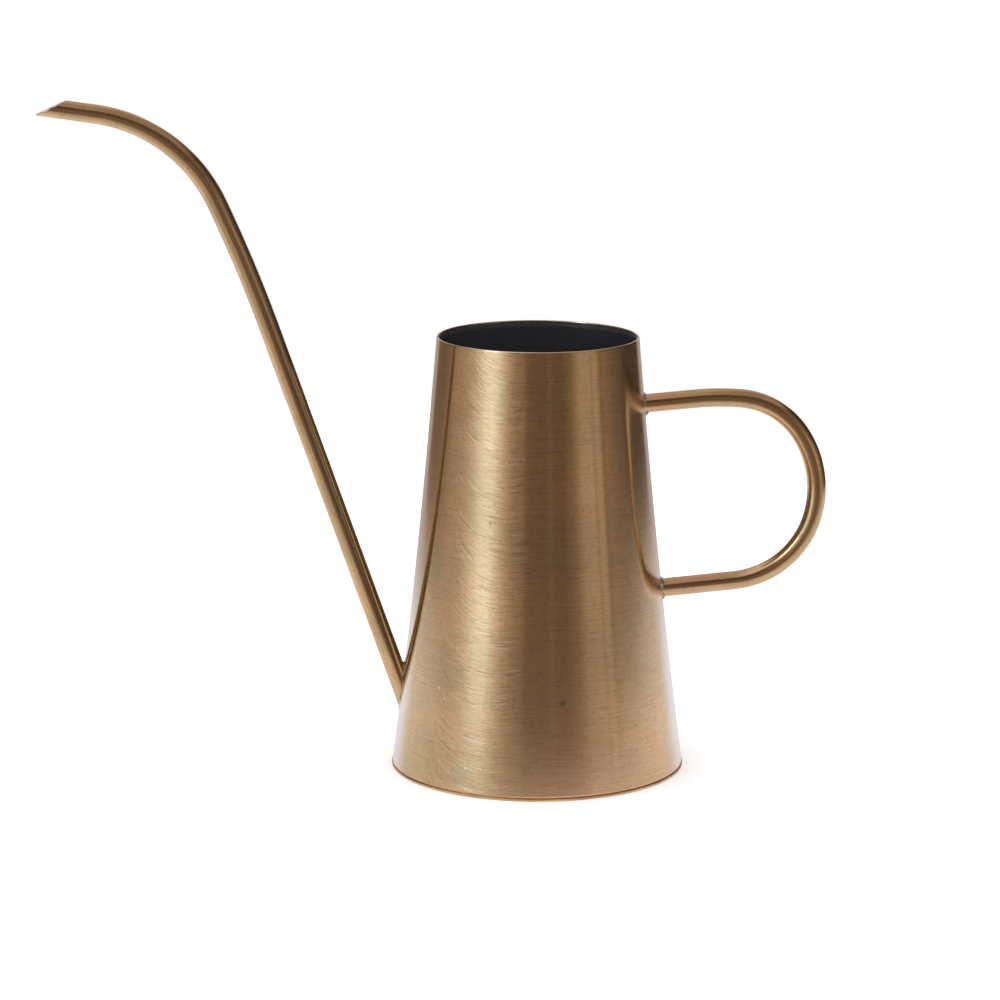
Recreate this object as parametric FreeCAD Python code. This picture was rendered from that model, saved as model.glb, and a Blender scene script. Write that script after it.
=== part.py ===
import FreeCAD, Part
import math
import os

# Brass watering can, in millimetres.
# The origin is the centre of the base on the surface that the can stands on.
# +Z is up, the spout points to -X and the handle to +X.

# Body: a rolled sheet that narrows upwards, with its sides bowed slightly inwards.
base_diameter = 129.0
rim_diameter = 88.1
body_height = 191.7
wall_bow = 1.2            # how far the side lies inside the straight cone at half height
wall_sheet = 0.9
rim_rounding = 0.4
seam_width = 0.8          # butt joint of the rolled sheet, filled with braze

# Base: a flat disc that the wall stands on.
base_sheet = 1.0
base_edge_rounding = 0.35
wall_setback = 0.2        # how far the foot of the wall sits inside the edge of the disc
base_braze_radius = 2.5

# Black lining of the inside.
lining = 0.3
lining_below_rim = 1.0

# Spout: one tube, straight, then bent away from the body, cut on a slant at its end.
spout_diameter = 8.6
spout_bore = 6.8
spout_joint_height = 34.25 # where the axis crosses the side
spout_lean = 19.4          # degrees from upright
spout_straight = 170.8     # from the joint to the first bend
spout_bends = [(632.0, 5.3), (67.2, 57.3)]   # radius and angle of each bend
spout_tail = 32.0
spout_cut_angle = 33.0     # between the slanted cut and the axis
spout_reach = 216.2        # from the can's axis to the tip of the lower lip

# Handle: one tube bent into a loop, both ends joined square to the wall.
handle_diameter = 8.2
handle_bore = 6.4
handle_joint_height = 161.6   # where the axis of the upper leg crosses the side
handle_rise = 5.5             # degrees above level
handle_upper_leg = 22.2       # from the joint to the first bend
handle_bends = [(113.0, 10.0), (35.0, 53.0), (45.3, 49.0), (39.5, 67.5)]
handle_lower_leg = 50.0

# Fillets of silver braze round the tubes' feet.
spout_braze_radius = 1.8
handle_braze_radius = 2.6

# Length of tube run into the can before the wall trims it.
foot_overrun = 24.0
bar_stub = 2.0            # how much further the piece of bar reaches that a braze ring is made on
clear = 20.0              # how far a cutting solid passes the thing that it cuts
tip_block = 60.0          # length and depth of the block that cuts the spout's slanted end
touching = 0.001          # two things nearer than this meet
slope_step = 1.0          # height over which the slope of the side is taken
settling_passes = 3       # after these the height of the handle's lower joint no longer changes


wall_foot_radius = base_diameter / 2.0 - wall_setback
rim_radius = rim_diameter / 2.0
side_slope = math.atan2(wall_foot_radius - rim_radius, body_height)


def point(x, z):
    return FreeCAD.Vector(x, 0.0, z)


def towards(heading):
    """Unit vector in the XZ plane, with the heading in degrees from +X towards +Z."""
    return point(math.cos(math.radians(heading)), math.sin(math.radians(heading)))


def revolved(edges):
    """Turn a closed outline in the XZ plane into a solid of revolution about Z."""
    face = Part.Face(Part.Wire(edges))
    return face.revolve(point(0, 0), FreeCAD.Vector(0, 0, 1), 360)


def side_radius_at(z, inset=0.0):
    """Distance from the can's axis to the side at height z, or to a surface inset behind it."""
    up = z / body_height
    straight = wall_foot_radius + (rim_radius - wall_foot_radius) * up
    return straight - 4.0 * wall_bow * up * (1.0 - up) - inset / math.cos(side_slope)


def side_curve(bottom, top, inset):
    """Parabola that the side follows between two heights."""
    foot_radius = side_radius_at(bottom, inset)
    top_radius = side_radius_at(top, inset)
    half_way = (bottom + top) / 2.0
    pull = 2.0 * side_radius_at(half_way, inset) - (foot_radius + top_radius) / 2.0
    curve = Part.BezierCurve()
    curve.setPoles([point(foot_radius, bottom), point(pull, half_way), point(top_radius, top)])
    return curve.toShape()


def cup(inset, bottom, top):
    """Solid of everything inside the side surface, inset by a depth, between two heights."""
    side = side_curve(bottom, top, inset)
    foot = point(side_radius_at(bottom, inset), bottom)
    head = point(side_radius_at(top, inset), top)
    return revolved([
        Part.LineSegment(point(0, bottom), foot).toShape(),
        side,
        Part.LineSegment(head, point(0, top)).toShape(),
        Part.LineSegment(point(0, top), point(0, bottom)).toShape(),
    ])


def soft_corner(inset, floor, radius):
    """Start, middle and end of the arc that rounds the corner between a floor and the side.

    Near its foot the side leans inwards by the foot's slope, and the arc touches both.
    """
    lean = math.atan((side_radius_at(floor) - side_radius_at(floor + slope_step)) / slope_step)
    turn = math.pi / 2.0 + lean
    reach = radius * math.tan(turn / 2.0)
    end_height = floor + reach * math.cos(lean)
    end = point(side_radius_at(end_height, inset), end_height)
    start = point(side_radius_at(floor, inset) - reach, floor)
    centre = start + point(0, radius)
    middle = centre + point(math.sin(turn / 2.0), -math.cos(turn / 2.0)) * radius
    return start, middle, end


def round_edges_at(solid, z, radius):
    """Round the circular edges of a solid that lie at height z."""
    edges = []
    for edge in solid.Edges:
        box = edge.BoundBox
        if abs(box.ZMin - z) < touching and abs(box.ZMax - z) < touching:
            edges.append(edge)
    return solid.makeFillet(radius, edges)


def tube_path(start, heading, runs):
    """Wire of straight runs and tangent bends in the XZ plane.

    A run is ("line", length) or ("bend", radius, degrees), counterclockwise seen from -Y.
    The heading is in degrees from +X towards +Z. The end point and heading come back too.
    """
    here = start
    edges = []
    for run in runs:
        ahead = towards(heading)
        if run[0] == "line":
            end = here + ahead * run[1]
            edges.append(Part.LineSegment(here, end).toShape())
        else:
            side = math.copysign(1.0, run[2])
            left = FreeCAD.Vector(-ahead.z, 0, ahead.x) * side
            centre = here + left * run[1]

            def on_arc(turn):
                angle = math.radians(turn)
                return centre - left * run[1] * math.cos(angle) + ahead * run[1] * math.sin(angle)

            middle = on_arc(abs(run[2]) / 2.0)
            end = on_arc(abs(run[2]))
            edges.append(Part.Arc(here, middle, end).toShape())
            heading += run[2]
        here = end
    return Part.Wire(edges), here, heading


def rod(path, start, heading, diameter):
    """Round bar swept along a path."""
    section = Part.Wire(Part.Circle(start, towards(heading), diameter / 2.0).toShape())
    sweep = Part.BRepOffsetAPI.MakePipeShell(path)
    sweep.add(section)
    sweep.build()
    sweep.makeSolid()
    return sweep.shape()


def tangent_cone(z, reach):
    """Cone that touches the side at height z and runs a reach above and below it."""
    rise = side_radius_at(z + slope_step) - side_radius_at(z - slope_step)
    slope = rise / (2.0 * slope_step)
    radius = side_radius_at(z)
    return Part.makeCone(radius - slope * reach, radius + slope * reach, 2.0 * reach,
                         point(0, z - reach))


def braze_ring(joint, bar, radius):
    """Concave fillet of braze between the side and a bar whose axis meets it at a joint.

    The side is bowed, so the tangent cone lies just inside it, and the true side trims the ring.
    """
    host = tangent_cone(joint.z, foot_overrun)
    bar = bar.common(Part.makeSphere(foot_overrun + bar_stub, joint))
    host_side = max(host.Faces, key=lambda face: face.Area)
    joined = host.fuse(bar)
    seam = []
    for edge in joined.Edges:
        middle = Part.Vertex(edge.valueAt((edge.FirstParameter + edge.LastParameter) / 2.0))
        if max(middle.distToShape(host_side)[0], middle.distToShape(bar)[0]) < touching:
            seam.append(edge)
    filled = joined.makeFillet(radius, seam)
    ring = filled.cut(host).cut(outer_form).cut(bar)
    return max(ring.Solids, key=lambda solid: solid.Volume)


def export(shape, name):
    solids = shape.Solids
    if len(solids) != 1 or not solids[0].isValid():
        raise RuntimeError("%s: %d solids, valid %s" % (name, len(solids), shape.isValid()))
    solids[0].exportStep(os.path.join("parts", name + ".step"))
    print("%-22s volume %10.1f mm3" % (name, solids[0].Volume))


# Whole outer form of the body, as a plug that trims the tubes' feet.
outer_form = cup(0.0, base_sheet, body_height)

# Spout axis, bar and bore.
spout_heading = 90.0 + spout_lean
spout_joint = point(-side_radius_at(spout_joint_height), spout_joint_height)
spout_start = spout_joint - towards(spout_heading) * foot_overrun
spout_runs = [("line", foot_overrun + spout_straight)]
for bend_radius, bend_angle in spout_bends:
    spout_runs.append(("bend", bend_radius, bend_angle))
spout_runs.append(("line", spout_tail))
spout_path, spout_end, spout_end_heading = tube_path(spout_start, spout_heading, spout_runs)
spout_bar = rod(spout_path, spout_start, spout_heading, spout_diameter)
spout_hollow = rod(spout_path, spout_start, spout_heading, spout_bore)

# Slanted cut at the spout's end, through the tip of its lower lip.
end_ahead = towards(spout_end_heading)
end_down = towards(spout_end_heading + 90.0)
tip_distance = (spout_end.x + end_down.x * spout_diameter / 2.0 + spout_reach) / end_ahead.x
lip_tip = spout_end + end_down * (spout_diameter / 2.0) - end_ahead * tip_distance
cut_along = towards(spout_end_heading + 180.0 + spout_cut_angle)
cut_out = towards(spout_end_heading + 270.0 + spout_cut_angle)
cut_corners = [
    lip_tip - cut_along * clear,
    lip_tip + cut_along * tip_block,
    lip_tip + cut_along * tip_block + cut_out * tip_block,
    lip_tip - cut_along * clear + cut_out * tip_block,
]
cut_face = Part.Face(Part.makePolygon(cut_corners + cut_corners[:1]))
cut_face.translate(FreeCAD.Vector(0, -clear, 0))
tip_waste = cut_face.extrude(FreeCAD.Vector(0, 2.0 * clear, 0))

spout_tube = spout_bar.cut(spout_hollow).cut(tip_waste).cut(outer_form)

# Handle axis, bar and bore.
handle_joint = point(side_radius_at(handle_joint_height), handle_joint_height)
handle_first = handle_joint - towards(handle_rise) * foot_overrun
handle_runs = [("line", foot_overrun + handle_upper_leg)]
for bend_radius, bend_angle in handle_bends:
    handle_runs.append(("bend", bend_radius, -bend_angle))
handle_runs.append(("line", handle_lower_leg))
handle_path, handle_end, handle_end_heading = tube_path(handle_first, handle_rise, handle_runs)
handle_bar = rod(handle_path, handle_first, handle_rise, handle_diameter)
handle_hollow = rod(handle_path, handle_first, handle_rise, handle_bore)
handle_tube = handle_bar.cut(handle_hollow).cut(outer_form)

# Body wall, with its seam on the handle's side and the spout's inlet.
wall_inside = cup(wall_sheet, base_sheet, body_height)
wall_shell = round_edges_at(outer_form.cut(wall_inside), body_height, rim_rounding)
seam_slot = Part.makeBox(base_diameter, seam_width, body_height + clear,
                         FreeCAD.Vector(0, -seam_width / 2.0, 0))
near_body = cup(-clear, -clear, body_height)
spout_inlet = spout_hollow.common(near_body)
body_wall = wall_shell.cut(seam_slot).cut(spout_inlet)
seam_braze = wall_shell.common(seam_slot)

# Base plate and the fillet of braze that seals it to the wall inside.
base_plate = Part.makeCylinder(base_diameter / 2.0, base_sheet)
base_plate = round_edges_at(base_plate, base_sheet, base_edge_rounding)
braze_start, braze_middle, braze_end = soft_corner(wall_sheet, base_sheet, base_braze_radius)
inside_corner = point(side_radius_at(base_sheet, wall_sheet), base_sheet)
base_braze = revolved([
    Part.LineSegment(inside_corner, braze_start).toShape(),
    Part.Arc(braze_start, braze_middle, braze_end).toShape(),
    side_curve(base_sheet, braze_end.z, wall_sheet),
])

# Lining: a thin skin over the wall, the fillet and the base.
lining_top = body_height - lining_below_rim
lining_floor = base_sheet + lining
skin_start, skin_middle, skin_end = soft_corner(
    wall_sheet + lining, lining_floor, base_braze_radius - lining)
inner_lining = revolved([
    Part.LineSegment(point(0, base_sheet), braze_start).toShape(),
    Part.Arc(braze_start, braze_middle, braze_end).toShape(),
    side_curve(braze_end.z, lining_top, wall_sheet),
    Part.LineSegment(point(side_radius_at(lining_top, wall_sheet), lining_top),
                     point(side_radius_at(lining_top, wall_sheet + lining), lining_top)).toShape(),
    side_curve(skin_end.z, lining_top, wall_sheet + lining),
    Part.Arc(skin_end, skin_middle, skin_start).toShape(),
    Part.LineSegment(skin_start, point(0, lining_floor)).toShape(),
    Part.LineSegment(point(0, lining_floor), point(0, base_sheet)).toShape(),
]).cut(spout_inlet)

# Braze round each foot.
spout_braze = braze_ring(spout_joint, spout_bar, spout_braze_radius)
handle_upper_braze = braze_ring(handle_joint, handle_bar, handle_braze_radius)
lower_height = handle_end.z
for _ in range(settling_passes):
    short_of_side = side_radius_at(lower_height) - handle_end.x
    lower_height = handle_end.z + short_of_side * math.tan(math.radians(-handle_end_heading))
lower_joint = point(side_radius_at(lower_height), lower_height)
handle_lower_braze = braze_ring(lower_joint, handle_bar, handle_braze_radius)

os.makedirs("parts", exist_ok=True)
export(body_wall, "body_wall")
export(seam_braze, "wall_seam_braze")
export(base_plate, "base_plate")
export(base_braze, "base_braze")
export(inner_lining, "inner_lining")
export(spout_tube, "spout_tube")
export(spout_braze, "spout_braze")
export(handle_tube, "handle_tube")
export(handle_upper_braze, "handle_upper_braze")
export(handle_lower_braze, "handle_lower_braze")
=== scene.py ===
import math

import bpy
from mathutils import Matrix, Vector, noise


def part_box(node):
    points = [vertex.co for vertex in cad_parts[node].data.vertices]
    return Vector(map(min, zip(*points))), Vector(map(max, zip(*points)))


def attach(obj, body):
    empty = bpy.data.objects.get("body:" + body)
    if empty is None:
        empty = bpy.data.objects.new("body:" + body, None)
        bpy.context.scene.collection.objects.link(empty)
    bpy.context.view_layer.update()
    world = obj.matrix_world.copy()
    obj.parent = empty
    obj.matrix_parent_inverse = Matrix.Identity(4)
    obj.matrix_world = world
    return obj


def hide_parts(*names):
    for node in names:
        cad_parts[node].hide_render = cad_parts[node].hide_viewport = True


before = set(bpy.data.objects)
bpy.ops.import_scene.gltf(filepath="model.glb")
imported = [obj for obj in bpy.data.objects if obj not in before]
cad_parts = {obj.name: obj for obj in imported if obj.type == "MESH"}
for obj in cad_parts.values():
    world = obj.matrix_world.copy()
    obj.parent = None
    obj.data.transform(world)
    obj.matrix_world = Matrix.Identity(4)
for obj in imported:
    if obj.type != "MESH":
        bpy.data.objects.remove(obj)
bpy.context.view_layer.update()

# Brass watering can, in metres, in the frame's own axes: spout to -X, handle to +X, +Z up.
MM = 0.001

# ---------------------------------------------------------------- sizes

base_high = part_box("base_plate")[1]
wall_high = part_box("body_wall")[1]
BASE_RADIUS = base_high.x
BASE_TOP = base_high.z
RIM_HEIGHT = wall_high.z
LINING_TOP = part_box("inner_lining")[1].z
SPOUT_TIP_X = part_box("spout_tube")[0].x

WALL_SETBACK = 0.2 * MM
RIM_RADIUS = 44.05 * MM
WALL_BOW = 1.2 * MM           # how far the side is hollowed in halfway up
WALL_SHEET = 0.9 * MM
LINING = 0.3 * MM
CORNER_RADIUS = 2.5 * MM
FOOT_RADIUS = BASE_RADIUS - WALL_SETBACK
RIM_DIP = 0.35 * MM           # how much lower the hand-trimmed rim is at its lowest

# Spout: the axis leaves the side at a height, runs straight, bends twice and ends in a tail.
SPOUT_JOINT = 34.25 * MM
SPOUT_HEADING = 109.4
SPOUT_RADIUS = 4.3 * MM
SPOUT_BORE = 3.4 * MM
SPOUT_RUNS = [
    ("line", 170.8 * MM),
    ("bend", 632.0 * MM, 5.3),
    ("bend", 67.2 * MM, 57.3),
    ("line", 32.0 * MM),
]
SPOUT_CUT_ANGLE = 33.0
SPOUT_THINNING = 0.055        # share of its radius that the tube loses by its mouth

FOOT_GAP = 0.1 * MM           # the tubes stop this far short of the wall, inside the braze

# Handle: leaves the side a little above level and comes back to it in a rounded loop.
HANDLE_JOINT = 161.6 * MM
HANDLE_HEADING = 5.5
HANDLE_RADIUS = 4.1 * MM
HANDLE_BORE = 3.2 * MM
HANDLE_TINT_END = 21.0 * MM   # the lower heat tint is measured from this far before its end
HANDLE_RUNS = [
    ("line", 22.2 * MM),
    ("bend", 113.0 * MM, -10.0),
    ("bend", 35.0 * MM, -53.0),
    ("bend", 45.3 * MM, -49.0),
    ("bend", 39.5 * MM, -67.5),
    ("line", 50.0 * MM),
]


def side_radius(z):
    """Radius of the wall's outer face at height z: a straight taper, bowed slightly inwards."""
    up = z / RIM_HEIGHT
    return FOOT_RADIUS + (RIM_RADIUS - FOOT_RADIUS) * up - 4.0 * WALL_BOW * up * (1.0 - up)


def smooth(value, low, high):
    """0 below low, 1 above high, eased between."""
    t = min(max((value - low) / (high - low), 0.0), 1.0)
    return t * t * (3.0 - 2.0 * t)


def wave(x, y, z):
    """Smooth noise from -1 to 1 at a point."""
    return noise.noise(Vector((x, y, z)))


# ---------------------------------------------------------------- mesh building

def ring_solid(name, rings, closed, uv=None, bare=None):
    """Closed mesh through a list of rings of points.

    closed joins the last ring to the first; otherwise each end is capped by a fan.
    uv gives (u, v) for a ring and a column, and bare marks rings of polished edge with 0 to 1.
    """
    count = len(rings[0])
    points = [p for ring in rings for p in ring]
    faces = []
    corners = []
    last = len(rings) if closed else len(rings) - 1
    for i in range(last):
        a = i * count
        b = ((i + 1) % len(rings)) * count
        for j in range(count):
            k = (j + 1) % count
            faces.append((a + j, a + k, b + k, b + j))
            corners.append(((i, j), (i, j + 1), (i + 1, j + 1), (i + 1, j)))
    if not closed:
        for i, flip in ((0, True), (len(rings) - 1, False)):
            middle = sum(rings[i], Vector()) / count
            points.append(middle)
            hub = len(points) - 1
            for j in range(count):
                k = (j + 1) % count
                edge = (i * count + j, i * count + k)
                faces.append((edge[1], edge[0], hub) if flip else (edge[0], edge[1], hub))
                corners.append(((i, j), (i, j), (i, j)))
    mesh = bpy.data.meshes.new(name)
    mesh.from_pydata(points, [], faces)
    if uv:
        layer = mesh.uv_layers.new(name="run")
        flat = [value for face in corners for i, j in face for value in uv(i, j)]
        layer.data.foreach_set("uv", flat)
    if bare:
        marks = mesh.attributes.new("bare", "FLOAT", "POINT")
        values = [bare(i) for i in range(len(rings)) for _ in range(count)]
        values += [0.0] * (len(points) - len(values))
        marks.data.foreach_set("value", values)
    mesh.validate()
    mesh.update()
    mesh.shade_smooth()
    piece = bpy.data.objects.new(name, mesh)
    bpy.context.scene.collection.objects.link(piece)
    return piece


def around(radius_at, z, count):
    """Ring about the can's axis at height z, with a radius for each angle from the front."""
    ring = []
    for j in range(count):
        turn = math.tau * j / count
        radius = radius_at(turn)
        ring.append(Vector((radius * math.sin(turn), -radius * math.cos(turn), z)))
    return ring


def place(piece, slot, *nodes):
    """Fix a piece to the can and hide the CAD nodes it stands for; slot is not used."""
    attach(piece, "root")
    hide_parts(*nodes)
    return piece


class Route:
    """Path of straight runs and bends in the XZ plane, walked by distance from its start."""

    def __init__(self, start, heading, runs):
        self.parts = []
        here = start
        turn = math.radians(heading)
        total = 0.0
        for run in runs:
            length = run[1] if run[0] == "line" else run[1] * math.radians(abs(run[2]))
            bend = 0.0 if run[0] == "line" else math.copysign(1.0 / run[1], run[2])
            self.parts.append((total, length, here, turn, bend))
            here, turn = self._walk(here, turn, bend, length)
            total += length
        self.length = total

    @staticmethod
    def _walk(here, turn, bend, distance):
        if bend == 0.0:
            step = Vector((math.cos(turn), 0.0, math.sin(turn))) * distance
            return here + step, turn
        new_turn = turn + bend * distance
        side = Vector((math.sin(new_turn) - math.sin(turn), 0.0,
                       math.cos(turn) - math.cos(new_turn))) / bend
        return here + side, new_turn

    def at(self, distance):
        """Point on the axis and heading, in radians, at a distance along the route."""
        part = self.parts[0]
        for candidate in self.parts:
            if distance >= candidate[0]:
                part = candidate
        total, _, here, turn, bend = part
        return self._walk(here, turn, bend, distance - total)

    def skin(self, distance, radius, spin):
        """Point at a radius from the axis; spin 0 faces the front, a quarter turn left of ahead."""
        here, turn = self.at(distance)
        left = Vector((-math.sin(turn), 0.0, math.cos(turn)))
        return here + radius * (math.cos(spin) * Vector((0.0, -1.0, 0.0)) + math.sin(spin) * left)

    def meets_side(self, radius, spin, low, high, gap=0.0):
        """Distance between low and high at which a line along the tube comes to the wall."""
        def outside(distance):
            p = self.skin(distance, radius, spin)
            return math.hypot(p.x, p.y) - side_radius(p.z) - gap

        rising = outside(high) > outside(low)
        for _ in range(40):
            middle = (low + high) / 2.0
            if (outside(middle) > 0.0) == rising:
                high = middle
            else:
                low = middle
        return (low + high) / 2.0


def tube(name, route, radius_at, bore, start_at, end_at, open_end, columns=64):
    """Hollow tube along a route; start_at and end_at trim each line along it, by spin and radius.

    open_end gives the end a polished lip that stands a little proud of the cut.
    """
    spins = [math.tau * j / columns + math.pi for j in range(columns)]
    bore_ratio = bore / radius_at(0.0)
    end_zone = 4.0 * MM
    end_rows = 16
    row_spacing = 1.1 * MM
    unevenness = 0.035 * MM

    def skin_rings(ratio, wobble):
        """Rings of one skin from the start to the end, closely spaced near both ends."""
        starts = [start_at(s, radius_at(0.0) * ratio) for s in spins]
        ends = [end_at(s, radius_at(route.length) * ratio) for s in spins]
        first = max(starts) + end_zone
        last = min(ends) - end_zone
        rows = [[s + (first - s) * i / end_rows for s in starts] for i in range(end_rows)]
        middle_rows = int((last - first) / row_spacing)
        for i in range(middle_rows):
            rows.append([first + (last - first) * i / middle_rows] * columns)
        rows += [[last + (e - last) * i / end_rows for e in ends] for i in range(end_rows + 1)]
        rings = []
        for row in rows:
            ring = []
            for distance, spin in zip(row, spins):
                rough = wave(distance * 90.0, math.cos(spin) * 0.7,
                             math.sin(spin) * 0.7 + bore * 9e3)
                radius = radius_at(distance) * ratio + wobble * rough
                ring.append(route.skin(distance, radius, spin))
            rings.append(ring)
        return rows, rings

    outer_rows, outer = skin_rings(1.0, unevenness)
    inner_rows, inner = skin_rings(bore_ratio, 0.0)
    rings = outer + inner[::-1]
    along = outer_rows + inner_rows[::-1]
    lip = []
    if open_end:
        proud = 0.10 * MM
        ahead = route.at(route.length)[1]
        push = proud * Vector((math.cos(ahead), 0.0, math.sin(ahead)))
        for share in (0.25, 0.75):
            ring = [a.lerp(b, share) + push for a, b in zip(outer[-1], inner[-1])]
            lip.append(ring)
        rings = outer + lip + inner[::-1]
        along = outer_rows + [outer_rows[-1]] * 2 + inner_rows[::-1]
    sharp = range(len(outer) - 1, len(outer) + len(lip) + 1)

    def uv(i, j):
        row = along[i % len(along)]
        return row[j % columns], math.tau * j / columns * radius_at(0.0)

    def bare(i):
        return 1.0 if lip and i in sharp else 0.0

    return ring_solid(name, rings, True, uv, bare)


def braze(name, route, radius, low, high, reach, lumps, pool=0.0, spread=0.3, columns=120):
    """Lumpy bead of braze between a tube and the wall, round the tube's foot.

    pool is how much further the bead reaches at the handle's underside, or at the spout's side
    towards the body, and spread how widely.
    """
    columns_of_points = []
    steps = 10
    away = 1.0 if high > abs(low) else -1.0
    for j in range(columns):
        spin = math.tau * j / columns
        lump = 1.0 + lumps * wave(math.cos(spin) * 2.6, math.sin(spin) * 2.6, radius * 3e3)
        lump += 0.5 * lumps * wave(math.cos(spin) * 7.0, math.sin(spin) * 7.0, 3.3)
        lump += pool * math.exp(-((math.sin(spin) + 1.0) / spread) ** 2)
        width = reach * lump
        crossing = route.meets_side(radius, spin, low, high)
        outer_crossing = route.meets_side(radius + width, spin, low, high)
        top = route.skin(crossing + away * width, radius - 0.15 * MM, spin)
        skirt = route.skin(outer_crossing - away * 0.15 * MM, radius + width, spin)
        corner = route.skin(crossing + away * 0.45 * width, radius + 0.42 * width, spin)
        out = (corner - route.skin(crossing, radius - 1.0 * MM, spin)).normalized()
        column = []
        for i in range(steps + 1):
            t = i / steps
            p = top * (1.0 - t) ** 2 + corner * 2.0 * t * (1.0 - t) + skirt * t * t
            grain = wave(p.x * 1400.0, p.y * 1400.0, p.z * 1400.0)
            column.append(p + out * (0.10 * MM * grain * math.sin(math.pi * t)))
        column.append(route.skin(outer_crossing - away * 0.5 * MM, radius + width * 0.8, spin))
        column.append(route.skin(crossing, radius - 0.4 * MM, spin))
        columns_of_points.append(column)
    rings = [[column[i] for column in columns_of_points] for i in range(steps + 3)]
    return ring_solid(name, rings, True)


# ---------------------------------------------------------------- pieces

def rim_lift(turn, z):
    """The rim was trimmed by hand: it falls a little towards the handle and the back."""
    falling = 0.5 + 0.5 * math.cos(turn - math.radians(130.0))
    return -RIM_DIP * falling * smooth(z, 0.5 * RIM_HEIGHT, RIM_HEIGHT)


def hand_wobble(turn, z):
    """How far the sheet stands off its true form: soft dents and faint upright flats."""
    x = math.sin(turn)
    y = math.cos(turn)
    dents = 0.10 * MM * wave(x * 1.7, y * 1.7, z * 16.0)
    flats = 0.018 * MM * wave(x * 7.0, y * 7.0, z * 5.0 + 4.0)
    ripples = 0.004 * MM * wave(x * 16.0, y * 16.0, z * 150.0)
    return dents + flats + ripples


def make_wall(columns=400):
    """Tapered sheet shell: up the outside, over the round polished rim and down the inside."""
    height = RIM_HEIGHT - BASE_TOP
    round_radius = WALL_SHEET / 2.0
    rows = 176
    rim_rows = 10
    inner_rows = 60
    rings = []
    marks = []

    def side_ring(z, inset):
        def radius_at(turn):
            return side_radius(z) - inset + hand_wobble(turn, z)
        ring = around(radius_at, z, columns)
        for j, p in enumerate(ring):
            p.z += rim_lift(math.tau * j / columns, z)
        return ring

    for i in range(rows + 1):
        z = BASE_TOP + (height - round_radius) * i / rows
        rings.append(side_ring(z, 0.0))
        marks.append(0.0)
    for i in range(1, rim_rows):
        turn = math.pi * i / rim_rows
        inset = round_radius * (1.0 - math.cos(turn))
        z = RIM_HEIGHT - round_radius * (1.0 - math.sin(turn))
        rings.append(side_ring(z, inset))
        marks.append(1.0)
    for i in range(inner_rows + 1):
        z = RIM_HEIGHT - round_radius - (height - round_radius) * i / inner_rows
        rings.append(side_ring(z, WALL_SHEET))
        marks.append(1.0 if i == 0 else 0.0)
    return ring_solid("body_shell", rings, True, None, lambda i: marks[i])


def make_lining(columns=200):
    """Thin black skin over the inside of the wall, the rounded corner and the base."""
    floor = BASE_TOP + LINING
    inside = WALL_SHEET + LINING
    corner = CORNER_RADIUS - LINING
    corner_top = 4.0 * MM
    corner_rows = 8
    floor_rows = 24
    rings = []

    def ring(z, radius, grain):
        def radius_at(turn):
            wobble = hand_wobble(turn, z) if z > corner_top else 0.0
            soft = grain * wave(math.sin(turn) * 9.0, math.cos(turn) * 9.0, z * 200.0)
            return radius + wobble + soft
        points = around(radius_at, z, columns)
        for j, p in enumerate(points):
            p.z += rim_lift(math.tau * j / columns, z)
        return points

    outer_rows = 40
    for i in range(outer_rows + 1):
        z = BASE_TOP + CORNER_RADIUS + (LINING_TOP - BASE_TOP - CORNER_RADIUS) * i / outer_rows
        rings.append(ring(z, side_radius(z) - WALL_SHEET, 0.0))
    inner_rows = 90
    for i in range(inner_rows + 1):
        z = LINING_TOP + (floor + corner - LINING_TOP) * i / inner_rows
        rings.append(ring(z, side_radius(z) - inside, 0.015 * MM))
    for i in range(1, corner_rows + 1):
        turn = math.pi / 2.0 * i / corner_rows
        z = floor + corner * (1.0 - math.sin(turn))
        rings.append(ring(z, side_radius(z) - inside - corner * (1.0 - math.cos(turn)), 0.0))
    flat = side_radius(floor) - inside - corner
    for i in range(1, floor_rows):
        rings.append(ring(floor, flat * (1.0 - i / floor_rows), 0.0))
    bottom = [ring(BASE_TOP, flat * i / floor_rows, 0.0) for i in range(1, floor_rows + 1)]
    bottom.append(ring(BASE_TOP, side_radius(BASE_TOP) - WALL_SHEET - CORNER_RADIUS, 0.0))
    for i in range(1, corner_rows):
        turn = math.pi / 2.0 * i / corner_rows
        z = BASE_TOP + CORNER_RADIUS * (1.0 - math.cos(turn))
        inset = WALL_SHEET + CORNER_RADIUS * (1.0 - math.sin(turn))
        bottom.append(ring(z, side_radius(z) - inset, 0.0))
    return ring_solid("lining_skin", bottom + rings, False)


def make_base(columns=256):
    """Flat disc with a softly rounded, slightly uneven edge."""
    rings = []

    def ring(z, radius, bite):
        def radius_at(turn):
            bumps = wave(math.sin(turn) * 6.0, math.cos(turn) * 6.0, 2.0)
            return radius - bite * (0.5 + 0.5 * bumps)
        return around(radius_at, z, columns)

    lower_edge = 0.35 * MM
    upper_edge = 0.10 * MM
    uneven = 0.1 * MM
    under_rows, lower_rows, upper_rows, top_rows = 30, 6, 4, 20
    for i in range(1, under_rows):
        rings.append(ring(0.0, (BASE_RADIUS - lower_edge) * i / under_rows, 0.0))
    for i in range(lower_rows + 1):
        turn = math.pi / 2.0 * i / lower_rows
        z = lower_edge * (1.0 - math.cos(turn))
        rings.append(ring(z, BASE_RADIUS - lower_edge * (1.0 - math.sin(turn)), uneven))
    for i in range(upper_rows + 1):
        turn = math.pi / 2.0 * i / upper_rows
        z = BASE_TOP - upper_edge * (1.0 - math.sin(turn))
        rings.append(ring(z, BASE_RADIUS - upper_edge * (1.0 - math.cos(turn)), uneven))
    for i in range(1, top_rows):
        rings.append(ring(BASE_TOP, (BASE_RADIUS - upper_edge) * (1.0 - i / top_rows), 0.0))
    return ring_solid("base_disc", rings, False)


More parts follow.
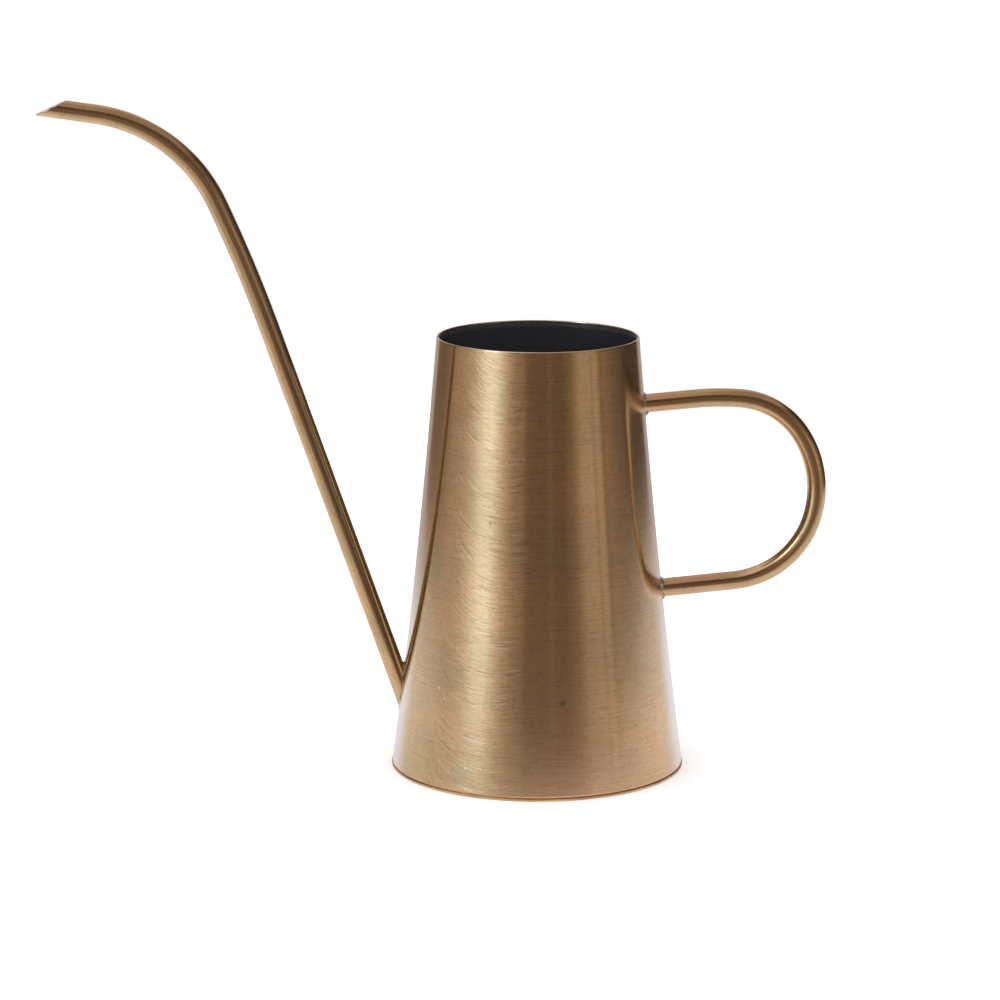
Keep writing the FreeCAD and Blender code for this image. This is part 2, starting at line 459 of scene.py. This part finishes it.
def make_seam():
    """Narrow lumpy strip of braze down the wall's butt joint, under the handle."""
    half = 0.5 * MM
    foot = BASE_TOP + 0.2 * MM
    height = RIM_HEIGHT - 0.8 * MM - BASE_TOP
    root = 0.7 * WALL_SHEET
    sunk = 0.1 * MM
    crown_steps = 6
    rows = 260
    rings = []
    for i in range(rows + 1):
        z = foot + height * i / rows
        wobble = hand_wobble(math.pi / 2.0, z)
        proud = 0.05 * MM + 0.035 * MM * wave(z * 260.0, 0.0, 7.0)
        width = half * (1.0 + 0.25 * wave(z * 180.0, 3.0, 0.0))
        x = side_radius(z) + wobble
        ring = [Vector((x - root, width * 0.8, z))]
        for k in range(crown_steps + 1):
            across = 1.0 - 2.0 * k / crown_steps
            crown = x - sunk + (proud + sunk) * (1.0 - across ** 2)
            ring.append(Vector((crown, width * across, z)))
        ring.append(Vector((x - root, -width * 0.8, z)))
        rings.append(ring)
    return ring_solid("wall_seam", rings, False)


spout_start = Vector((-side_radius(SPOUT_JOINT), 0.0, SPOUT_JOINT))
spout = Route(spout_start, SPOUT_HEADING, SPOUT_RUNS)
handle_start = Vector((side_radius(HANDLE_JOINT), 0.0, HANDLE_JOINT))
handle = Route(handle_start, HANDLE_HEADING, HANDLE_RUNS)


def spout_radius(distance):
    """The tube is drawn a little thinner from its last bend to its mouth."""
    thinning = SPOUT_THINNING * smooth(distance, 0.7 * spout.length, spout.length)
    return SPOUT_RADIUS * (1.0 - thinning)


def spout_mouth(spin, radius):
    """Distance along the spout at which the slanted cut crosses a line along the tube."""
    turn = spout.at(spout.length)[1]
    ahead = Vector((math.cos(turn), 0.0, math.sin(turn)))
    lower_lip = spout.skin(spout.length, spout_radius(spout.length), math.pi / 2.0)
    lower_lip += ahead * (SPOUT_TIP_X - lower_lip.x) / ahead.x
    tilt = turn + math.pi + math.radians(SPOUT_CUT_ANGLE)
    facing = Vector((-math.sin(tilt), 0.0, math.cos(tilt)))
    p = spout.skin(spout.length, radius, spin)
    return spout.length + (lower_lip - p).dot(facing) / ahead.dot(facing)


def spout_foot(spin, radius):
    return spout.meets_side(radius, spin, -20.0 * MM, 30.0 * MM, FOOT_GAP)


def handle_foot(spin, radius):
    return handle.meets_side(radius, spin, -8.0 * MM, 8.0 * MM, FOOT_GAP)


def handle_end(spin, radius):
    low = handle.length - 49.0 * MM
    return handle.meets_side(radius, spin, low, handle.length, FOOT_GAP)


wall = make_wall()
lining_skin = make_lining()
base_disc = make_base()
seam = make_seam()
spout_piece = tube("spout_pipe", spout, spout_radius, SPOUT_BORE, spout_foot, spout_mouth, True)
handle_piece = tube("handle_pipe", handle, lambda d: HANDLE_RADIUS, HANDLE_BORE,
                    handle_foot, handle_end, False)
spout_bead = braze("spout_bead", spout, SPOUT_RADIUS, -25.0 * MM, 40.0 * MM,
                   0.75 * MM, 0.35, 1.3, 0.10)
upper_bead = braze("handle_upper_bead", handle, HANDLE_RADIUS, -8.0 * MM, 9.0 * MM,
                   1.25 * MM, 0.4, 0.5, 0.12)

# The lower joint is worked out along the lower leg, walked back from its end inside the can.
end_point, end_heading = handle.at(handle.length)
backwards = Route(end_point, math.degrees(end_heading) + 180.0, HANDLE_RUNS[-1:])
lower_bead = braze("handle_lower_bead", backwards, HANDLE_RADIUS, 0.0, 45.0 * MM, 1.25 * MM, 0.4)

place(wall, "body_brass", "body_wall")
place(lining_skin, "black_lining", "inner_lining")
place(base_disc, "base_brass", "base_plate")
place(seam, "silver_braze", "wall_seam_braze")
place(spout_piece, "spout_brass", "spout_tube")
place(handle_piece, "handle_brass", "handle_tube")
place(spout_bead, "silver_braze", "spout_braze")
place(upper_bead, "silver_braze", "handle_upper_braze")
place(lower_bead, "silver_braze", "handle_lower_braze")

# ---------------------------------------------------------------- materials


class Graph:
    """Short names for building a node tree."""

    def __init__(self, tree):
        self.tree = tree

    def node(self, kind, inputs=None, **settings):
        made = self.tree.nodes.new(kind)
        for name, value in settings.items():
            setattr(made, name, value)
        for name, value in (inputs or {}).items():
            self.put(made.inputs[name], value)
        return made

    def put(self, socket, value):
        if isinstance(value, bpy.types.NodeSocket):
            self.tree.links.new(value, socket)
        else:
            socket.default_value = value

    def math(self, operation, *values):
        made = self.node("ShaderNodeMath", operation=operation)
        for socket, value in zip(made.inputs, values):
            self.put(socket, value)
        return made.outputs[0]

    def total(self, *values):
        result = values[0]
        for value in values[1:]:
            result = self.math("ADD", result, value)
        return result

    def times(self, *values):
        result = values[0]
        for value in values[1:]:
            result = self.math("MULTIPLY", result, value)
        return result

    def point(self, x, y, z):
        return self.node("ShaderNodeCombineXYZ", {"X": x, "Y": y, "Z": z}).outputs[0]

    def noise(self, vector, scale=1.0, detail=2.0, roughness=0.5, distortion=0.0):
        inputs = {"Vector": vector, "Scale": scale, "Detail": detail,
                  "Roughness": roughness, "Distortion": distortion}
        return self.node("ShaderNodeTexNoise", inputs).outputs["Fac"]

    def ease(self, value, low, high, to_low=0.0, to_high=1.0):
        """to_low at low, to_high at high, eased between and held beyond."""
        inputs = {"Value": value, "From Min": low, "From Max": high,
                  "To Min": to_low, "To Max": to_high}
        made = self.node("ShaderNodeMapRange", inputs, interpolation_type="SMOOTHSTEP")
        return made.outputs["Result"]

    def ease_turn(self, angle, low, high, to_low=0.0, to_high=1.0):
        """ease for an angle, with its two ends in degrees."""
        return self.ease(angle, math.radians(low), math.radians(high), to_low, to_high)

    def mix(self, factor, a, b):
        made = self.node("ShaderNodeMix", data_type="RGBA")
        self.put(made.inputs["Factor"], factor)
        self.put(made.inputs[6], a)
        self.put(made.inputs[7], b)
        return made.outputs[2]

    def ramp(self, factor, stops):
        """Grey level that runs straight from stop to stop; a stop is a position and a level."""
        made = self.node("ShaderNodeValToRGB", {"Fac": factor})
        made.color_ramp.interpolation = "LINEAR"
        elements = made.color_ramp.elements
        for element, (position, level) in zip(elements, (stops[0], stops[-1])):
            element.position = position
            element.color = (level, level, level, 1.0)
        for position, level in stops[1:-1]:
            elements.new(position).color = (level, level, level, 1.0)
        return made.outputs["Color"]


def new_material(name):
    """New material, with its node graph and its main shader."""
    made = bpy.data.materials.new(name)
    made.use_nodes = True
    shader = made.node_tree.nodes["Principled BSDF"]
    return made, Graph(made.node_tree), shader


# Brass: two shades of its patina, a heat tint, a painted sheen that pales it at a grazing look, and
# bare edges.
GOLD = (0.83, 0.600, 0.350, 1.0)
OLIVE = (0.70, 0.535, 0.305, 1.0)
COPPER = (0.82, 0.530, 0.350, 1.0)
GRAZING_SHEEN = (0.92, 0.93, 0.96, 1.0)
BARE = (0.92, 0.83, 0.68, 1.0)
CUT_LIP = (0.62, 0.57, 0.60, 1.0)

# Fine detail in the brass: brown in the scratches, a painted highlight on their crests, dark pits
# and specks, and painted shade on the spout beside the body.
UMBER = (0.30, 0.185, 0.09, 1.0)
ARC_GLINT = (1.0, 0.88, 0.68, 1.0)
LINE_GLINT = (1.0, 0.80, 0.52, 1.0)
PIT = (0.20, 0.13, 0.07, 1.0)
DRAWN_LINE = (0.40, 0.27, 0.15, 1.0)
SPECK = (0.30, 0.20, 0.11, 1.0)
# Painted shade for the spout's side that faces the body.
SHADE_BY_BODY = (0.34, 0.28, 0.19, 1.0)

# Braze, lining and base disc: each with its duller and its brighter shade.
BRAZE_FLUX = (0.32, 0.23, 0.12, 1.0)
BRAZE_SILVER = (0.76, 0.71, 0.56, 1.0)
BRAZE_GREEN = (0.55, 0.55, 0.38, 1.0)
LACQUER_DEEP = (0.013, 0.012, 0.016, 1.0)
LACQUER_WORN = (0.024, 0.022, 0.027, 1.0)
DISC_DULL = (0.66, 0.41, 0.20, 1.0)
DISC_BRIGHT = (0.82, 0.54, 0.29, 1.0)

# Marks on the body: degrees from the front, height, size, strength and colour.
PALE_MARK = (1.0, 0.93, 0.78, 1.0)
DARK_MARK = (0.22, 0.15, 0.09, 1.0)
GREEN_MARK = (0.48, 0.50, 0.32, 1.0)
BODY_MARKS = [
    (-7.6, 146.0 * MM, 1.0 * MM, 0.8, PALE_MARK),
    (10.0, 41.6 * MM, 1.6 * MM, 0.5, DARK_MARK),
    (-24.0, 118.0 * MM, 1.1 * MM, 0.6, DARK_MARK),
    (-46.6, 44.0 * MM, 0.9 * MM, 0.8, PALE_MARK),
    (-43.0, 40.0 * MM, 0.6 * MM, 0.8, PALE_MARK),
    (-32.0, 9.0 * MM, 5.5 * MM, 0.45, GREEN_MARK),
    (-30.0, 12.0 * MM, 0.8 * MM, 0.7, PALE_MARK),
]


def body_material():
    """Sheet brass brushed round the body, with swinging hand-sanded arcs over the brushing."""
    made, g, shader = new_material("aged_sheet_brass")
    where = g.node("ShaderNodeTexCoord").outputs["Object"]
    split = g.node("ShaderNodeSeparateXYZ", {"Vector": where})
    x, y, z = split.outputs
    angle = g.math("ARCTAN2", x, g.times(y, -1.0))
    mean_radius = 55.0 * MM

    # Fine brushing round the body.
    level_lines = g.noise(g.point(g.times(x, 70.0), g.times(y, 70.0), g.times(z, 2400.0)),
                          detail=2.0, roughness=0.6)
    faint_lines = g.noise(g.point(g.times(x, 40.0), g.times(y, 40.0), g.times(z, 420.0)))

    # Arcs left by a swinging hand, in three columns that lean a little with height.
    spacing = math.tau / 3.0
    arc_radius = 35.0 * MM
    sway = g.math("SUBTRACT", g.noise(g.point(0.0, 0.0, g.times(z, 14.0)), detail=1.0), 0.5)
    turned = g.total(angle, 0.37, g.times(z, -0.5), g.times(sway, 0.35))
    local = g.math("WRAP", turned, spacing / 2.0, -spacing / 2.0)
    across = g.times(local, mean_radius)
    room = g.math("SUBTRACT", arc_radius ** 2, g.times(across, across))
    drop = g.math("SUBTRACT", arc_radius, g.math("SQRT", g.math("MAXIMUM", room, 0.0)))
    height = g.math("SUBTRACT", z, drop)
    column = g.math("FLOOR", g.math("DIVIDE", turned, spacing))
    strokes = g.noise(g.point(g.times(across, 75.0), g.times(height, 1500.0), column),
                      detail=3.0, roughness=0.65)
    groups = g.noise(g.point(g.times(across, 90.0), g.times(height, 150.0), column), detail=2.0)
    in_group = g.ease(groups, 0.34, 0.60, 0.30, 1.0)
    left_end = g.ease(across, -34.0 * MM, -25.0 * MM)
    right_end = g.ease(across, 22.0 * MM, 6.0 * MM)
    arcs = g.times(in_group, left_end, right_end)
    groove = g.times(g.math("SUBTRACT", strokes, 0.5), arcs)

    # Soft colour patches, dark brown in the scratches with a painted highlight on their crests, and
    # small dark pits.
    patches = g.noise(where, scale=24.0, detail=4.0, roughness=0.55)
    warm = g.noise(where, scale=13.0, detail=3.0, distortion=0.4)
    grain = g.noise(where, scale=520.0, detail=2.0)
    pits = g.ease(g.noise(where, scale=700.0, detail=1.0), 0.72, 0.80)
    colour = g.mix(g.ease(patches, 0.38, 0.66), OLIVE, GOLD)
    low_red = g.times(g.ease(warm, 0.45, 0.68), g.ease(z, 0.13, 0.0))
    colour = g.mix(g.times(low_red, 0.6), colour, COPPER)
    colour = g.mix(g.ease(groove, 0.0, -0.14, 0.0, 0.40), colour, UMBER)
    # Painted highlight: paler brass on the crests of the arcs, standing in for their glints.
    colour = g.mix(g.ease(groove, 0.03, 0.16, 0.0, 0.50), colour, ARC_GLINT)
    colour = g.mix(g.ease(level_lines, 0.52, 0.30, 0.0, 0.22), colour, UMBER)
    # Painted highlight along the crests of the brushed lines.
    colour = g.mix(g.ease(level_lines, 0.54, 0.72, 0.0, 0.16), colour, LINE_GLINT)
    colour = g.mix(g.ease(grain, 0.50, 0.30, 0.0, 0.14), colour, UMBER)
    colour = g.mix(g.times(pits, 0.5), colour, PIT)

    # Single marks, each with a ragged edge.
    for degrees, mark_height, reach, strength, tint in BODY_MARKS:
        off = g.times(g.math("SUBTRACT", angle, math.radians(degrees)), mean_radius)
        rise = g.math("SUBTRACT", z, mark_height)
        far = g.math("SQRT", g.total(g.times(off, off), g.times(rise, rise)))
        far = g.total(far, g.times(g.math("SUBTRACT", grain, 0.5), reach * 1.5))
        colour = g.mix(g.ease(far, reach, reach * 0.3, 0.0, strength), colour, tint)

    # Painted sheen: the brass pales at a grazing look, least near the rim, standing in for
    # reflection; bare metal on the rim.
    facing = g.node("ShaderNodeLayerWeight", {"Blend": 0.5}).outputs["Facing"]
    sheen_amount = g.times(g.ease(facing, 0.58, 0.80, 0.0, 0.7), g.ease(z, 0.05, 0.13, 1.0, 0.75))
    colour = g.mix(sheen_amount, colour, GRAZING_SHEEN)
    bare = g.node("ShaderNodeAttribute", attribute_name="bare").outputs["Fac"]
    colour = g.mix(bare, colour, BARE)

    heights = g.total(
        g.times(level_lines, 1.2),
        g.times(faint_lines, 1.1),
        g.times(groove, 9.0),
        g.times(pits, -1.0),
    )
    bump = g.node("ShaderNodeBump", {"Height": heights, "Strength": 1.0,
                                        "Distance": 0.007 * MM})
    roughness = g.total(g.ease(patches, 0.3, 0.7, 0.18, 0.155), g.times(arcs, 0.02))
    roughness = g.math("SUBTRACT", roughness, g.times(bare, 0.06))

    # A thin clear coat, and highlights drawn out up and down across the brushing.
    shader.inputs["Metallic"].default_value = 1.0
    shader.inputs["Coat Weight"].default_value = 0.35
    shader.inputs["Coat Roughness"].default_value = 0.06
    shader.inputs["Anisotropic"].default_value = 0.93
    shader.inputs["Anisotropic Rotation"].default_value = 0.25
    tangent = g.node("ShaderNodeTangent", direction_type="RADIAL", axis="Z")
    g.put(shader.inputs["Tangent"], tangent.outputs[0])
    g.put(shader.inputs["Base Color"], colour)
    g.put(shader.inputs["Roughness"], roughness)
    g.put(shader.inputs["Normal"], bump.outputs[0])
    return made


def tube_material(name, warm_start, warm_end, length, shaded=False):
    """Drawn tube: fine lines lengthwise, soft blotches, and a coppery heat tint by the joints.

    warm_start and warm_end say how far the tint reaches from each end of the length. shaded paints
    shade on the lower tube's +X side, where it faces the body.
    """
    made, g, shader = new_material(name)
    where = g.node("ShaderNodeTexCoord").outputs["Object"]
    run = g.node("ShaderNodeUVMap", uv_map="run").outputs[0]
    split = g.node("ShaderNodeSeparateXYZ", {"Vector": run})
    along, around_it = split.outputs[0], split.outputs[1]
    lines = g.noise(g.point(g.times(along, 60.0), g.times(around_it, 2200.0), 0.0), detail=3.0)
    rubs = g.noise(g.point(g.times(along, 500.0), g.times(around_it, 90.0), 2.0), detail=2.0)
    patches = g.noise(where, scale=55.0, detail=4.0, roughness=0.6)
    speckle = g.noise(where, scale=650.0, detail=2.0)
    colour = g.mix(g.ease(patches, 0.38, 0.64), OLIVE, GOLD)
    if warm_start:
        heat = g.total(g.ease(along, warm_start, 0.3 * warm_start),
                       g.ease(along, length - warm_end, length - 0.3 * warm_end))
        colour = g.mix(g.times(heat, g.ease(speckle, 0.3, 0.7, 0.5, 0.9)), colour, COPPER)
    colour = g.mix(g.times(g.ease(lines, 0.55, 0.38), 0.2), colour, DRAWN_LINE)
    colour = g.mix(g.times(g.ease(speckle, 0.60, 0.75), 0.3), colour, SPECK)
    if shaded:
        # Painted shade on the spout's +X side, where it faces the body: full below 170 mm, none
        # above 240 mm.
        towards_body = g.math("SINE", g.math("DIVIDE", around_it, SPOUT_RADIUS))
        height = g.node("ShaderNodeSeparateXYZ", {"Vector": where}).outputs[2]
        painted_shade = g.times(g.ease(towards_body, 0.0, 0.3), g.ease(height, 240.0 * MM, 170.0 * MM))
        colour = g.mix(g.times(painted_shade, 0.8), colour, SHADE_BY_BODY)
    bare = g.node("ShaderNodeAttribute", attribute_name="bare").outputs["Fac"]
    facing = g.node("ShaderNodeLayerWeight", {"Blend": 0.5}).outputs["Facing"]
    # Painted sheen: the tube pales at a grazing look, standing in for reflection.
    colour = g.mix(g.ease(facing, 0.66, 0.94, 0.0, 0.5), colour, GRAZING_SHEEN)
    colour = g.mix(bare, colour, CUT_LIP)
    heights = g.total(g.times(lines, 1.0), g.times(rubs, 0.8), g.times(speckle, 0.5))
    bump = g.node("ShaderNodeBump", {"Height": heights, "Strength": 1.0,
                                        "Distance": 0.006 * MM})
    roughness = g.ease(patches, 0.3, 0.7, 0.22, 0.15)
    shader.inputs["Metallic"].default_value = 1.0
    g.put(shader.inputs["Base Color"], colour)
    g.put(shader.inputs["Roughness"], roughness)
    g.put(shader.inputs["Normal"], bump.outputs[0])
    return made


def braze_material():
    """Silver braze, greyed and slightly green, with bright worn tops and dark flux in its pits."""
    made, g, shader = new_material("silver_braze")
    where = g.node("ShaderNodeTexCoord").outputs["Object"]
    lumps = g.noise(where, scale=420.0, detail=4.0, roughness=0.65)
    stains = g.noise(where, scale=190.0, detail=3.0)
    colour = g.mix(g.ease(lumps, 0.40, 0.60), BRAZE_FLUX, BRAZE_SILVER)
    colour = g.mix(g.times(g.ease(stains, 0.50, 0.66), 0.6), colour, BRAZE_GREEN)
    bump = g.node("ShaderNodeBump", {"Height": lumps, "Strength": 1.0, "Distance": 0.15 * MM})
    shader.inputs["Metallic"].default_value = 0.9
    g.put(shader.inputs["Base Color"], colour)
    g.put(shader.inputs["Roughness"], g.ease(lumps, 0.35, 0.65, 0.6, 0.35))
    g.put(shader.inputs["Normal"], bump.outputs[0])
    return made


def lining_material():
    """Flat charcoal lacquer with a fine grain and faint water marks."""
    made, g, shader = new_material("charcoal_lining")
    where = g.node("ShaderNodeTexCoord").outputs["Object"]
    grain = g.noise(where, scale=1500.0, detail=2.0)
    cloud = g.noise(where, scale=30.0, detail=4.0)
    colour = g.mix(g.ease(cloud, 0.35, 0.7), LACQUER_DEEP, LACQUER_WORN)
    bump = g.node("ShaderNodeBump", {"Height": grain, "Strength": 0.6, "Distance": 0.03 * MM})
    g.put(shader.inputs["Base Color"], colour)
    g.put(shader.inputs["Roughness"], g.ease(cloud, 0.3, 0.7, 0.62, 0.5))
    g.put(shader.inputs["Normal"], bump.outputs[0])
    return made


def base_material():
    """Bare disc: coppery, turned in rings underneath, with dull stains."""
    made, g, shader = new_material("base_disc_brass")
    where = g.node("ShaderNodeTexCoord").outputs["Object"]
    x, y, _ = g.node("ShaderNodeSeparateXYZ", {"Vector": where}).outputs
    radius = g.math("SQRT", g.total(g.times(x, x), g.times(y, y)))
    turned = g.noise(g.point(g.times(radius, 1400.0), g.times(x, 12.0), g.times(y, 12.0)),
                     detail=2.0)
    stains = g.noise(where, scale=60.0, detail=4.0)
    colour = g.mix(g.ease(stains, 0.35, 0.65), DISC_DULL, DISC_BRIGHT)
    bump = g.node("ShaderNodeBump", {"Height": turned, "Strength": 1.0,
                                        "Distance": 0.008 * MM})
    shader.inputs["Metallic"].default_value = 1.0
    g.put(shader.inputs["Base Color"], colour)
    g.put(shader.inputs["Roughness"], g.ease(stains, 0.3, 0.7, 0.42, 0.3))
    g.put(shader.inputs["Normal"], bump.outputs[0])
    return made


silver = braze_material()
finishes = {
    wall: body_material(),
    lining_skin: lining_material(),
    base_disc: base_material(),
    seam: silver,
    spout_piece: tube_material("spout_brass", 0.0, 0.0, spout.length, True),
    handle_piece: tube_material("handle_brass", 22.0 * MM, 30.0 * MM,
                                handle.length - HANDLE_TINT_END),
    spout_bead: silver,
    upper_bead: silver,
    lower_bead: silver,
    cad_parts["base_braze"]: silver,
}
for piece, finish in finishes.items():
    piece.data.materials.clear()
    piece.data.materials.append(finish)

# ---------------------------------------------------------------- studio

# Brightness of the studio's walls round the can, by degrees from the camera's side towards
# the handle's side: a dark room behind the camera, softer panels, dark flags at the back.
STUDIO_RING = [
    (-180, 0.14), (-143, 0.16), (-126, 0.17), (-112, 0.23), (-99, 0.36), (-87, 0.42),
    (-77, 0.57), (-66, 0.84), (-57, 1.08), (-48, 1.10), (-40, 0.82), (-32, 0.50),
    (-24, 0.32), (-15, 0.27), (-12, 0.16), (9, 0.145), (12, 0.19), (15, 0.145), (26, 0.14),
    (36, 0.22), (46, 0.40), (59, 0.44), (61, 0.27), (63, 0.44), (68, 0.38), (71, 0.20),
    (76, 0.24), (90, 0.15), (106, 0.08), (112, 0.05), (143, 0.06), (180, 0.14),
]
PANEL_DIM = 0.45              # what is left of a panel's brightness above its soft top
TALL_PANEL = 0.9              # panel on the spout's side that goes on up to the ceiling
TALL_PANEL_TURN = -54.0       # where it stands, in degrees
FLOOR_GLOW = 0.45
BACKDROP = 0.42
BACKDROP_TOP = 0.5
CEILING_LEFT = 0.70
CEILING_RIGHT = 0.32
ROOM_LIGHT = 1.5              # even light on matt surfaces
WHITE_SWEEP = 1.0             # what the lens sees behind the can

# How green and blue follow a glow's brightness: a share, and what each unit of level adds to it.
PANEL_GREEN = (0.586, 0.464)
PANEL_BLUE = (0.358, 0.76)
TABLE_GREEN = (0.66, 0.34)
TABLE_BLUE = (0.46, 0.60)


def warm_glow(g, level, green_part, blue_part):
    """Colour of a glow of a level: warm where it is dim, neutral or cool where it is bright."""
    green = g.times(level, g.total(green_part[0], g.times(level, green_part[1])))
    blue = g.times(level, g.total(blue_part[0], g.times(level, blue_part[1])))
    return g.point(level, green, blue)


def make_world():
    """White to the lens, even light on matt surfaces, and a studio of panels seen in the metal."""
    world = bpy.data.worlds.new("studio")
    bpy.context.scene.world = world
    world.use_nodes = True
    tree = world.node_tree
    tree.nodes.clear()
    g = Graph(tree)
    way = g.node("ShaderNodeTexCoord").outputs["Generated"]
    split = g.node("ShaderNodeSeparateXYZ", {"Vector": way})
    x, y, z = split.outputs
    turn = g.math("ARCTAN2", x, g.times(y, -1.0))
    climb = g.math("ARCSINE", z)
    place_on_ring = g.total(g.math("DIVIDE", turn, math.tau), 0.5)
    stops = [((degrees + 180.0) / 360.0, level) for degrees, level in STUDIO_RING]
    level = g.ramp(place_on_ring, stops)
    level = g.times(level, g.ease_turn(climb, 8.0, 20.0, 1.0, PANEL_DIM))

    def over(below, factor, above):
        """above where factor is 1, below where it is 0."""
        kept = g.times(below, g.math("SUBTRACT", 1.0, factor))
        return g.total(kept, g.times(factor, above))

    off_centre = g.math("ABSOLUTE", g.total(turn, math.radians(-TALL_PANEL_TURN)))
    tall = g.times(g.ease_turn(off_centre, 17.0, 11.0), g.ease_turn(climb, 10.0, 16.0))
    level = over(level, tall, TALL_PANEL)
    ceiling = g.ease_turn(climb, 40.0, 48.0)
    level = over(level, ceiling, g.ease(x, 0.10, -0.35, CEILING_RIGHT, CEILING_LEFT))
    behind = g.times(g.ease_turn(g.math("ABSOLUTE", turn), 146.0, 153.0),
                     g.ease_turn(climb, -13.0, -10.0))
    level = over(level, behind, g.ease_turn(climb, -4.0, 0.0, BACKDROP, BACKDROP_TOP))
    ahead = g.times(g.ease_turn(turn, -25.0, -10.0), g.ease_turn(turn, 60.0, 40.0))
    floor = g.times(g.ease_turn(climb, -10.0, -16.0), g.math("SUBTRACT", 1.0, ahead))
    level = over(level, floor, FLOOR_GLOW)
    studio = warm_glow(g, level, PANEL_GREEN, PANEL_BLUE)
    rays = g.node("ShaderNodeLightPath")
    room = (ROOM_LIGHT, ROOM_LIGHT, ROOM_LIGHT, 1.0)
    sweep = (WHITE_SWEEP, WHITE_SWEEP, WHITE_SWEEP, 1.0)
    plain = g.mix(rays.outputs["Is Glossy Ray"], room, studio)
    final = g.mix(rays.outputs["Is Camera Ray"], plain, sweep)
    light = g.node("ShaderNodeBackground", {"Color": final, "Strength": 1.0})
    out = g.node("ShaderNodeOutputWorld")
    g.put(out.inputs["Surface"], light.outputs[0])


TABLE_RADIUS = 0.70
TABLE_CENTRE = Vector((0.02, 0.20, -0.05 * MM))
TABLE_PAINT = (0.9, 0.9, 0.9, 1.0)
TABLE_FRONT_GLOW = 0.52
TABLE_BACK_GLOW = 0.84
TABLE_FAR_FADE = 0.55         # what is left of the glow at the table's far edge
TABLE_SHADE = 0.20            # level in the shadowed corner in front of the handle


def make_table():
    """Pale round table top; in the metal it shows brightest just behind the can."""
    corners = 128
    rim = []
    for j in range(corners):
        turn = math.tau * j / corners
        rim.append(TABLE_CENTRE + TABLE_RADIUS * Vector((math.cos(turn), math.sin(turn), 0.0)))
    mesh = bpy.data.meshes.new("table_top")
    mesh.from_pydata(rim, [], [tuple(range(corners))])
    table = bpy.data.objects.new("table_top", mesh)
    bpy.context.scene.collection.objects.link(table)
    made, g, shader = new_material("pale_table")
    shader.inputs["Base Color"].default_value = TABLE_PAINT
    shader.inputs["Roughness"].default_value = 0.9
    shader.inputs["Specular IOR Level"].default_value = 0.0
    where = g.node("ShaderNodeTexCoord").outputs["Object"]
    side, depth, _ = g.node("ShaderNodeSeparateXYZ", {"Vector": where}).outputs
    glow_level = g.ease(depth, -0.30, 0.12, TABLE_FRONT_GLOW, TABLE_BACK_GLOW)
    glow_level = g.times(glow_level, g.ease(depth, 0.20, 0.60, 1.0, TABLE_FAR_FADE))
    shade = g.times(g.ease(depth, -0.16, -0.30), g.ease(side, -0.20, -0.06))
    kept = g.times(glow_level, g.math("SUBTRACT", 1.0, shade))
    glow_level = g.total(kept, g.times(shade, TABLE_SHADE))
    glow = g.node("ShaderNodeEmission",
                  {"Color": warm_glow(g, glow_level, TABLE_GREEN, TABLE_BLUE)})
    rays = g.node("ShaderNodeLightPath")
    blend = g.node("ShaderNodeMixShader", {"Fac": rays.outputs["Is Glossy Ray"]})
    g.put(blend.inputs[1], shader.outputs[0])
    g.put(blend.inputs[2], glow.outputs[0])
    g.put(made.node_tree.nodes["Material Output"].inputs["Surface"], blend.outputs[0])
    mesh.materials.append(made)


# Key lamp: where it stands in degrees from the front and above level, and its size in metres.
KEY_TURN = -56.0
KEY_CLIMB = 31.0
KEY_DISTANCE = 1.4
KEY_WIDTH = 0.34
KEY_HEIGHT = 0.50
KEY_RADIANCE = 2.4
KEY_AIM = Vector((0.0, 0.0, 0.1))


def direction(turn, climb):
    """Unit vector at a turn from the front towards the handle, and a climb above level."""
    turn = math.radians(turn)
    climb = math.radians(climb)
    return Vector((math.sin(turn) * math.cos(climb), -math.cos(turn) * math.cos(climb),
                   math.sin(climb)))


def make_key_softbox():
    """Rectangular lamp that faces the can."""
    lamp = bpy.data.lights.new("key_softbox", "AREA")
    lamp.shape = "RECTANGLE"
    lamp.size = KEY_WIDTH
    lamp.size_y = KEY_HEIGHT
    lamp.energy = KEY_RADIANCE * math.pi * KEY_WIDTH * KEY_HEIGHT
    holder = bpy.data.objects.new("key_softbox", lamp)
    bpy.context.scene.collection.objects.link(holder)
    way = direction(KEY_TURN, KEY_CLIMB)
    holder.location = KEY_AIM + way * KEY_DISTANCE
    holder.rotation_euler = way.to_track_quat("Z", "Y").to_euler()


# Lens: in front of the can, a little above it.
LENS_CLIMB = 11.856
LENS_DISTANCE = 1.7
LENS_LENGTH = 139.57          # in mm, on a sensor 36 mm wide
LENS_AIM = Vector((-16.48 * MM, 0.0, 118.61 * MM))


def make_camera():
    """Lens looking along +Y and a little down at the can."""
    lens = bpy.data.cameras.new("lens")
    lens.sensor_width = 36.0
    lens.lens = LENS_LENGTH
    lens.clip_end = 50.0
    holder = bpy.data.objects.new("camera", lens)
    bpy.context.scene.collection.objects.link(holder)
    back = direction(0.0, LENS_CLIMB)
    holder.location = LENS_AIM + back * LENS_DISTANCE
    holder.rotation_euler = back.to_track_quat("Z", "Y").to_euler()
    bpy.context.scene.camera = holder


make_world()
make_table()
make_key_softbox()
make_camera()
bpy.context.scene.view_settings.view_transform = "Standard"
